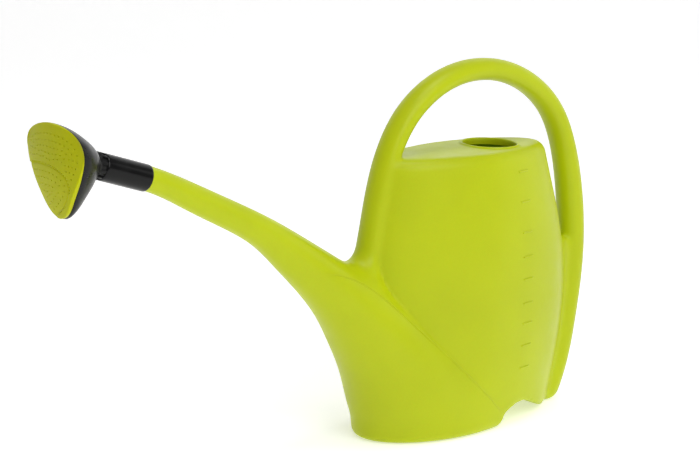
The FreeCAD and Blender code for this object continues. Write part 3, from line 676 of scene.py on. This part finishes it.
link(body.outputs["Geometry"], ray.inputs["Target Geometry"])
link(outside.outputs["Vector"], ray.inputs["Source Position"])
ray.inputs["Ray Direction"].default_value = (0, 1, 0)
ray.inputs["Ray Length"].default_value = 0.4
raised = add_node(marks, "GeometryNodeInputNamedAttribute", data_type="FLOAT")
raised.inputs["Name"].default_value = "lift"
along = add_node(marks, "ShaderNodeVectorMath", operation="SCALE")
link(ray.outputs["Hit Normal"], along.inputs[0])
link(raised.outputs["Attribute"], along.inputs["Scale"])
total = add_node(marks, "ShaderNodeVectorMath", operation="ADD")
link(ray.outputs["Hit Position"], total.inputs[0])
link(along.outputs["Vector"], total.inputs[1])
lay = add_node(marks, "GeometryNodeSetPosition")
link(real.outputs["Geometry"], lay.inputs["Geometry"])
link(total.outputs["Vector"], lay.inputs["Position"])
smooth = add_node(marks, "GeometryNodeSetShadeSmooth")
link(lay.outputs["Geometry"], smooth.inputs["Geometry"])
finish = add_node(marks, "GeometryNodeSetMaterial")
link(smooth.outputs["Geometry"], finish.inputs["Geometry"])
link(given["Finish"], finish.inputs["Material"])
link(finish.outputs["Geometry"], add_node(marks, "NodeGroupOutput").inputs["Geometry"])

heights = bpy.data.meshes.new("mark_heights")
heights.from_pydata([(MARK_X * MM, -0.09, height * MM) for height in MARK_HEIGHTS], [], [])
mark_mesh = grow_mesh("litre_marks_source", heights, marks, {
    body_in: can_skin, length_in: MARK_LENGTH * MM, width_in: MARK_WIDTH * MM,
    proud_in: MARK_PROUD * MM, root_in: MARK_ROOT * MM, finish_in: can_plastic})
keep("litre_marks", mark_mesh, "can")

# ---------------------------------------------------------------- rose sleeve
# Polished black tube, injection moulded, pushed over the plain end of the spout.
# A groove near its front end takes the bead of the rose's neck.

# radius, distance along the spout's axis
SLEEVE_PROFILE = [
    (12.9, 0.8), (13.05, 0.25), (13.4, 0.02), (13.8, 0.12), (14.15, 0.6), (14.3, 1.5), (14.3, 3.0),
    (14.3, 20.0), (14.3, 40.0), (14.3, 53.0), (14.22, 54.4), (13.95, 55.5), (13.5, 55.97), (13.1, 55.9),
    (12.9, 55.5), (12.9, 50.8), (13.4, 50.8), (13.4, 48.2), (12.9, 48.2), (12.9, 30.0)]


def closed_rings(name, rings, capped=False):
    """Band through rings of equally many points; the last joins the first, or each end gets a cap."""
    count, rounds = len(rings[0]), len(rings)
    verts = [tuple(spot * MM) for ring in rings for spot in ring]
    faces = [(i * count + k, i * count + (k + 1) % count,
              (i + 1) % rounds * count + (k + 1) % count, (i + 1) % rounds * count + k)
             for i in range(rounds - capped) for k in range(count)]
    if capped:
        faces += [tuple(range(count)), tuple(range((rounds - 1) * count, rounds * count))]
    mesh = bpy.data.meshes.new(name)
    mesh.from_pydata(verts, [], faces)
    bm = bmesh.new()
    bm.from_mesh(mesh)
    bmesh.ops.recalc_face_normals(bm, faces=bm.faces)
    bm.to_mesh(mesh)
    bm.free()
    return mesh


def black_plastic(name, shade_of_grey, rough, coat):
    """Black injection moulding: gloss from the polished tool, with faint flow marks and fine scratches."""
    material = bpy.data.materials.new(name)
    material.use_nodes = True
    tree = material.node_tree
    link = tree.links.new
    shader = tree.nodes["Principled BSDF"]
    place = add_node(tree, "ShaderNodeTexCoord").outputs["Object"]
    flow = noise(tree, place, 60.0, 5.0, Distortion=1.2)
    tint = add_node(tree, "ShaderNodeValToRGB")
    tint.color_ramp.elements[0].position = 0.35
    tint.color_ramp.elements[0].color = (shade_of_grey * 0.8, shade_of_grey * 0.8, shade_of_grey * 0.85, 1)
    tint.color_ramp.elements[1].position = 0.65
    tint.color_ramp.elements[1].color = (shade_of_grey * 1.2, shade_of_grey * 1.2, shade_of_grey * 1.15, 1)
    link(flow.outputs["Fac"], tint.inputs["Fac"])
    link(tint.outputs["Color"], shader.inputs["Base Color"])
    wipe = add_node(tree, "ShaderNodeMapRange")
    wipe.inputs["From Min"].default_value = 0.3
    wipe.inputs["From Max"].default_value = 0.7
    wipe.inputs["To Min"].default_value = rough - 0.04
    wipe.inputs["To Max"].default_value = rough + 0.06
    link(flow.outputs["Fac"], wipe.inputs["Value"])
    link(wipe.outputs["Result"], shader.inputs["Roughness"])
    scratch_place = add_node(tree, "ShaderNodeMapping")
    scratch_place.inputs["Scale"].default_value = (300.0, 2600.0, 900.0)
    link(place, scratch_place.inputs["Vector"])
    scratch = noise(tree, scratch_place.outputs["Vector"], 1.0, 3.0)
    bump = add_node(tree, "ShaderNodeBump")
    bump.inputs["Strength"].default_value = 0.12
    bump.inputs["Distance"].default_value = 0.00004
    link(scratch.outputs["Fac"], bump.inputs["Height"])
    link(bump.outputs["Normal"], shader.inputs["Normal"])
    shader.inputs["IOR"].default_value = 1.5
    shader.inputs["Specular IOR Level"].default_value = 0.16
    shader.inputs["Coat Weight"].default_value = coat
    shader.inputs["Coat Roughness"].default_value = 0.12
    return material


rings = [spout_ring(radius, way, 96) for radius, way in SLEEVE_PROFILE]
sleeve_mesh = closed_rings("rose_sleeve_tube", rings)
shade(sleeve_mesh)
keep("rose_sleeve_tube", sleeve_mesh, "sleeve", ["rose_sleeve"],
     black_plastic("sleeve_plastic", 0.004, 0.2, 0.1))

# ---------------------------------------------------------------- rose bowl and neck
# One black injection moulding: a bell that grows from the round neck to the rounded-triangle rim.
# The bead on its neck snaps into the sleeve; short ribs stand round the neck in front of the sleeve.

NECK_START, BOWL_START, BOWL_DEPTH, BOWL_DROOP = 43.0, 64.0, 46.2, 7.0
NECK_RADIUS, NECK_BORE, COLLAR_RADIUS = 12.8, 10.6, 14.1
RIM_TILT, RIM_DROP = math.radians(22.6), 16.0
DROOP_LEAN = 0.75
FACE_HALF_WIDTH, FACE_HEIGHT, BOWL_WALL = 54.0, 97.0, 1.8
# half outline of the face from its tip up: share of the half width, share of the height
FACE_OUTLINE = [(0.0, 0.0), (0.25, 0.045), (0.52, 0.215), (0.79, 0.425), (0.96, 0.60), (1.015, 0.715),
                (0.96, 0.82), (0.80, 0.90), (0.52, 0.962), (0.0, 1.0)]
# growth of the bell from neck to rim: share of the way, share of the growth
BELL = [(0.0, 0.0), (0.10, 0.08), (0.22, 0.31), (0.35, 0.52), (0.48, 0.68), (0.62, 0.81), (0.76, 0.915),
        (0.9, 0.98), (1.0, 1.0)]
COLUMNS = 176


def face_outline(count):
    """Even points round the rounded triangle about its middle: up the face and across it."""
    half = [((up - 0.5) * FACE_HEIGHT, across * FACE_HALF_WIDTH) for across, up in FACE_OUTLINE]
    loop = np.array(half + [(up, -across) for up, across in reversed(half[1:-1])])
    wrapped = np.vstack([loop[-4:], loop, loop[:5]])
    ways = np.concatenate([[0], np.cumsum(np.hypot(*np.diff(wrapped, axis=0).T))])
    curve = spline(ways, wrapped)
    return curve(np.linspace(ways[4], ways[4 + len(loop)], count, endpoint=False))


def rim_place(share):
    """Matrix of the bell's section at a share of the way: X up, Y across, Z out, in millimetres."""
    turn = Matrix((UP, Vector((0, 1, 0)), OUT)).transposed() @ Matrix.Rotation(-RIM_TILT * share, 3, "Y")
    full = Matrix((UP, Vector((0, 1, 0)), OUT)).transposed() @ Matrix.Rotation(-RIM_TILT, 3, "Y")
    start = SPOUT_START + OUT * BOWL_START
    rim = start + OUT * BOWL_DEPTH - full @ Vector((RIM_DROP, 0, 0))
    place = turn.to_4x4()
    droop = BOWL_DROOP * math.sin(math.pi * share ** DROOP_LEAN)
    place.translation = start + (rim - start) * share - UP * droop
    return place


outline = face_outline(COLUMNS)
directions = outline / np.hypot(*outline.T)[:, None]
growth = spline([way for way, _ in BELL], [[grown] for _, grown in BELL])


def bell_ring(share, inset):
    """Ring of the bell at a share of the way, pulled in by a wall."""
    place = rim_place(share)
    grown = float(growth(share)[0])
    flat = directions * COLLAR_RADIUS * (1 - grown) + outline * grown
    flat = flat - directions * inset
    return [place @ Vector((up, across, 0)) for up, across in flat]


def neck_ring(radius, way):
    place = SPOUT_START + OUT * way
    return [place + UP * radius * up + Vector((0, radius * across, 0)) for up, across in directions]


rings = [neck_ring(radius, way) for radius, way in [
    (NECK_BORE, NECK_START), (NECK_RADIUS - 0.3, NECK_START), (NECK_RADIUS, NECK_START + 0.4),
    (NECK_RADIUS, 48.3), (NECK_RADIUS + 0.45, 48.9), (NECK_RADIUS + 0.45, 50.1), (NECK_RADIUS, 50.7),
    (NECK_RADIUS, 56.6), (NECK_RADIUS - 0.5, 57.0), (NECK_RADIUS - 0.5, 62.6), (COLLAR_RADIUS, 63.2)]]
rings += [bell_ring(share, 0.0) for share in np.linspace(0.0, 0.97, 34)]
rings += [bell_ring(0.99, 0.05), bell_ring(1.0, 0.35)]
rings += [bell_ring(1.0, BOWL_WALL - 0.2), bell_ring(0.99, BOWL_WALL)]
rings += [bell_ring(share, BOWL_WALL) for share in np.linspace(0.97, 0.1, 26)]
rings += [neck_ring(NECK_BORE, 66.5), neck_ring(NECK_BORE, 56.0)]
bowl_mesh = closed_rings("rose_bowl", rings)
shade(bowl_mesh, 40)
shell_plastic = black_plastic("shell_plastic", 0.007, 0.3, 0.05)
keep("rose_bowl", bowl_mesh, "rose", ["rose_shell"], shell_plastic)

# ribs round the neck, set by a node tree on a ring of points
RIB_COUNT, RIB_LENGTH, RIB_WIDTH, RIB_DEPTH = 10, 6.6, 3.0, 1.7
RIB_WAY = 59.9
ribs = bpy.data.node_groups.new("neck_ribs", "GeometryNodeTree")
ribs.is_modifier = True
add_input(ribs, "Rib", "NodeSocketGeometry")
count_in = add_input(ribs, "Count", "NodeSocketInt")
radius_in = add_input(ribs, "Radius", "NodeSocketFloat")
finish_in = add_input(ribs, "Finish", "NodeSocketMaterial")
ribs.interface.new_socket("Geometry", in_out="OUTPUT", socket_type="NodeSocketGeometry")
link = ribs.links.new
given = add_node(ribs, "NodeGroupInput").outputs
circle = add_node(ribs, "GeometryNodeMeshCircle")
link(given["Count"], circle.inputs["Vertices"])
link(given["Radius"], circle.inputs["Radius"])
facing = add_node(ribs, "FunctionNodeAlignRotationToVector", axis="X")
link(add_node(ribs, "GeometryNodeInputPosition").outputs["Position"], facing.inputs["Vector"])
place = add_node(ribs, "GeometryNodeInstanceOnPoints")
link(circle.outputs["Mesh"], place.inputs["Points"])
link(given["Rib"], place.inputs["Instance"])
link(facing.outputs["Rotation"], place.inputs["Rotation"])
real = add_node(ribs, "GeometryNodeRealizeInstances")
link(place.outputs["Instances"], real.inputs["Geometry"])
finish = add_node(ribs, "GeometryNodeSetMaterial")
link(real.outputs["Geometry"], finish.inputs["Geometry"])
link(given["Finish"], finish.inputs["Material"])
link(finish.outputs["Geometry"], add_node(ribs, "NodeGroupOutput").inputs["Geometry"])

bm = bmesh.new()
bmesh.ops.create_cube(bm, size=MM)
bmesh.ops.scale(bm, vec=(RIB_DEPTH, RIB_WIDTH, RIB_LENGTH), verts=bm.verts)
bmesh.ops.bevel(bm, geom=bm.edges[:], offset=0.45 * MM, segments=3, affect="EDGES", profile=0.5)
rib = bpy.data.meshes.new("neck_rib")
bm.to_mesh(rib)
bm.free()
rib_mesh = grow_mesh("neck_ribs_source", rib, ribs, {
    count_in: RIB_COUNT, radius_in: (COLLAR_RADIUS - RIB_DEPTH / 2) * MM, finish_in: shell_plastic})
along_spout = Matrix((UP, Vector((0, 1, 0)), OUT)).transposed().to_4x4()
along_spout.translation = (SPOUT_START + OUT * RIB_WAY) * MM
rib_mesh.transform(along_spout)
shade(rib_mesh)
keep("rose_neck_ribs", rib_mesh, "rose")

# ---------------------------------------------------------------- rose face
# Lime injection moulding snapped on the bowl: a shallow dome with a stepped lower lobe and a skirt.
# A node tree drills it with one round hole at each point of the spray pattern.

FACE_EDGE, FACE_BULGE, FACE_WALL = 1.3, 7.0, 2.0
LOBE_STEP, LOBE_GROOVE, LOBE_GROOVE_DEPTH = 0.7, 1.1, 0.55
SKIRT_INSET, SKIRT_WALL, SKIRT_DEPTH = 2.7, 1.4, 2.5
HOLE_SIZE, HOLE_SPACE = 1.6, 4.4
BALL = (FACE_HALF_WIDTH ** 2 + FACE_BULGE ** 2) / (2 * FACE_BULGE)
# edge of the lower lobe: across the face, height above its tip
LOBE_EDGE = [(62.0, 49.5), (49.2, 51.1), (32.0, 54.2), (14.5, 55.4), (2.0, 55.0), (-10.3, 53.0),
             (-18.5, 50.2), (-25.0, 46.2), (-28.6, 40.6), (-29.2, 35.6), (-27.6, 30.0), (-21.8, 21.0),
             (-12.0, 12.6), (-0.6, 5.0), (14.0, -5.0)]


def lobe_line(count):
    line = np.array(LOBE_EDGE)
    ways = np.concatenate([[0], np.cumsum(np.hypot(*np.diff(line, axis=0).T))])
    return spline(ways, line)(np.linspace(0, ways[-1], count))


LOBE = np.vstack([lobe_line(60), [(70.0, -12.0), (70.0, 49.5)]])


def from_lobe(up, across):
    """Distance from the edge of the lower lobe, negative inside it."""
    return outline_distance(across, up + FACE_HEIGHT / 2, LOBE)


def dome_height(up, across):
    """Outer height of the dome over the rim, stepped down inside the lobe."""
    away = from_lobe(up, across)
    inside = np.clip(0.5 - away, 0, 1)
    groove = np.clip(1 - np.abs(away + LOBE_GROOVE / 2) / LOBE_GROOVE, 0, 1) * LOBE_GROOVE_DEPTH
    ball = np.sqrt(BALL ** 2 - up ** 2 - across ** 2) - BALL
    return FACE_EDGE + FACE_BULGE + ball - groove - LOBE_STEP * inside * inside * (3 - 2 * inside)


def face_ring(share, inset, height=None, under=0.0):
    """Ring of the face: a share of the outline pulled in, on the dome unless a height is given."""
    flat = outline * share - directions * inset
    if height is None:
        rise = np.maximum(dome_height(flat[:, 0], flat[:, 1]) - under, 0.3)
    else:
        rise = np.full(len(flat), height)
    return [Vector((up, across, level)) for (up, across), level in zip(flat, rise)]


rings = [face_ring(share, 0.0) for share in np.linspace(0.012, 0.97, 84)]
rings += [face_ring(1.0, 0.9), face_ring(1.0, 0.45, under=0.08), face_ring(1.0, 0.12, under=0.35),
          face_ring(1.0, 0.0, under=0.8), face_ring(1.0, 0.0, 0.25), face_ring(1.0, 0.2, 0.05)]
rings += [face_ring(1.0, SKIRT_INSET, 0.05), face_ring(1.0, SKIRT_INSET, -SKIRT_DEPTH),
          face_ring(1.0, SKIRT_INSET + SKIRT_WALL, -SKIRT_DEPTH),
          face_ring(1.0, SKIRT_INSET + SKIRT_WALL, -0.4)]
rings += [face_ring(share, 0.0, under=FACE_WALL) for share in np.linspace(0.88, 0.03, 22)]
face_mesh = closed_rings("rose_face_blank", rings, capped=True)

holes = []


def add_holes(line, pitch, space):
    """Even holes along a line, where they keep clear of the edge and of the holes already set."""
    ways = np.concatenate([[0], np.cumsum(np.hypot(*np.diff(line, axis=0).T))])
    for way in np.arange(pitch / 2, ways[-1], pitch):
        spot = np.array([np.interp(way, ways, line[:, 0]), np.interp(way, ways, line[:, 1])])
        far = outline_distance(np.array([spot[1]]), np.array([spot[0]]), outline[:, ::-1])[0]
        if far < -5.0 and all(np.hypot(*(spot - other)) > space for other in holes):
            holes.append(spot)


edge_line = lobe_line(240)[:, ::-1] - np.array([FACE_HEIGHT / 2, 0.0])
sideways = np.gradient(edge_line, axis=0)[:, ::-1] * (1, -1)
sideways /= np.hypot(*sideways.T)[:, None]
add_holes(edge_line - sideways * 0.9, 3.3, 2.4)
for inset in (11.0, 18.0, 25.0, 32.0, 39.0):
    row = outline - directions * inset * (1.0 / 1.08)
    row = np.vstack([row, row[:1]])
    outer = from_lobe(row[:, 0], row[:, 1]) > 4.5
    for run in np.split(np.arange(len(row)), np.flatnonzero(np.diff(outer.astype(int))) + 1):
        if outer[run[0]] and len(run) > 3:
            add_holes(row[run], 6.9, HOLE_SPACE)
for offset in (7.5, 14.5, 21.5, 28.5):
    for sign in (1, -1):
        row = edge_line - sideways * offset * sign
        inner = from_lobe(row[:, 0], row[:, 1]) < 3 - offset
        for run in np.split(np.arange(len(row)), np.flatnonzero(np.diff(inner.astype(int))) + 1):
            if inner[run[0]] and len(run) > 3:
                add_holes(row[run], 6.9, HOLE_SPACE)

drill = bpy.data.node_groups.new("spray_holes", "GeometryNodeTree")
drill.is_modifier = True
add_input(drill, "Face", "NodeSocketGeometry")
spots_in = add_input(drill, "Spots", "NodeSocketObject")
size_in = add_input(drill, "Hole radius", "NodeSocketFloat")
depth_in = add_input(drill, "Hole depth", "NodeSocketFloat")
finish_in = add_input(drill, "Finish", "NodeSocketMaterial")
drill.interface.new_socket("Geometry", in_out="OUTPUT", socket_type="NodeSocketGeometry")
link = drill.links.new
given = add_node(drill, "NodeGroupInput").outputs
spots_info = add_node(drill, "GeometryNodeObjectInfo")
link(given["Spots"], spots_info.inputs["Object"])
bit = add_node(drill, "GeometryNodeMeshCylinder")
bit.inputs["Vertices"].default_value = 14
link(given["Hole radius"], bit.inputs["Radius"])
link(given["Hole depth"], bit.inputs["Depth"])
place = add_node(drill, "GeometryNodeInstanceOnPoints")
link(spots_info.outputs["Geometry"], place.inputs["Points"])
link(bit.outputs["Mesh"], place.inputs["Instance"])
real = add_node(drill, "GeometryNodeRealizeInstances")
link(place.outputs["Instances"], real.inputs["Geometry"])
cut = add_node(drill, "GeometryNodeMeshBoolean", operation="DIFFERENCE", solver="EXACT")
link(given["Face"], cut.inputs["Mesh 1"])
link(real.outputs["Geometry"], cut.inputs["Mesh 2"])
finish = add_node(drill, "GeometryNodeSetMaterial")
link(cut.outputs["Mesh"], finish.inputs["Geometry"])
link(given["Finish"], finish.inputs["Material"])
link(finish.outputs["Geometry"], add_node(drill, "NodeGroupOutput").inputs["Geometry"])

spot_mesh = bpy.data.meshes.new("spray_spots")
level = FACE_EDGE + FACE_BULGE - 3.0
spot_mesh.from_pydata([(spot[0] * MM, spot[1] * MM, level * MM) for spot in holes], [], [])
spot_object = bpy.data.objects.new("spray_spots", spot_mesh)
bpy.context.collection.objects.link(spot_object)
face_plastic = lime_plastic("face_plastic", (0.50, 0.52, 0.002), 0.38, 0.08, 0.00003)
drilled = grow_mesh("rose_face_source", face_mesh, drill, {
    spots_in: spot_object, size_in: HOLE_SIZE / 2 * MM, depth_in: 14 * MM, finish_in: face_plastic})
bpy.data.objects.remove(spot_object)
rim = rim_place(1.0)
rim.translation = rim.translation * MM
drilled.transform(rim)
shade(drilled, 32)
keep("rose_face_plate", drilled, "rose", ["rose_face"])

# ---------------------------------------------------------------- floor and light
# A pale sweep under and behind the can, and three soft lights: one in front, a weak fill at the rear
# and one from above. The world adds an even white light.

floor_mesh = bpy.data.meshes.new("floor")
FLOOR_REACH, SWEEP_START, SWEEP_RADIUS, SWEEP_TOP = 14.0, 2.2, 0.9, 4.5
sweep = [(-FLOOR_REACH, 0.0)]
sweep += [(SWEEP_START + SWEEP_RADIUS * math.sin(turn), SWEEP_RADIUS - SWEEP_RADIUS * math.cos(turn))
          for turn in np.linspace(0, math.pi / 2, 16)]
sweep += [(SWEEP_START + SWEEP_RADIUS, SWEEP_TOP)]
verts = [(side, depth, height) for depth, height in sweep for side in (-FLOOR_REACH, FLOOR_REACH)]
faces = [(2 * i, 2 * i + 1, 2 * i + 3, 2 * i + 2) for i in range(len(sweep) - 1)]
floor_mesh.from_pydata(verts, [], faces)
floor_mesh.shade_smooth()
floor = bpy.data.objects.new("floor", floor_mesh)
floor.rotation_euler.z = CAMERA_TURN
floor.location.z = -0.0005
bpy.context.collection.objects.link(floor)
paper = bpy.data.materials.new("paper")
paper.use_nodes = True
sockets = paper.node_tree.nodes["Principled BSDF"].inputs
sockets["Base Color"].default_value = (0.9, 0.9, 0.9, 1)
sockets["Roughness"].default_value = 0.9
sockets["Emission Color"].default_value = (1, 1, 1, 1)
sockets["Emission Strength"].default_value = 0.42
floor_mesh.materials.append(paper)


def soft_light(name, turn, rise, distance, size, watts):
    """Square area light that faces the can from a turn and a rise, in degrees."""
    turn, rise = math.radians(turn), math.radians(rise)
    away = Vector((math.sin(turn) * math.cos(rise), -math.cos(turn) * math.cos(rise), math.sin(rise)))
    data = bpy.data.lights.new(name, "AREA")
    data.shape = "SQUARE"
    data.size = size
    data.energy = watts
    lamp = bpy.data.objects.new(name, data)
    lamp.location = CAMERA_TARGET + away * distance
    lamp.rotation_euler = away.to_track_quat("Z", "Y").to_euler()
    bpy.context.collection.objects.link(lamp)


soft_light("key_light", -8, 38, 2.6, 1.8, 30)
soft_light("rear_fill", 62, 18, 2.8, 1.6, 6)
soft_light("top_light", 10, 80, 2.4, 1.0, 15)
world = bpy.data.worlds.new("studio")
world.use_nodes = True
world.node_tree.nodes["Background"].inputs["Color"].default_value = (1, 1, 1, 1)
world.node_tree.nodes["Background"].inputs["Strength"].default_value = 0.28
bpy.context.scene.world = world
bpy.context.scene.view_settings.view_transform = "Standard"
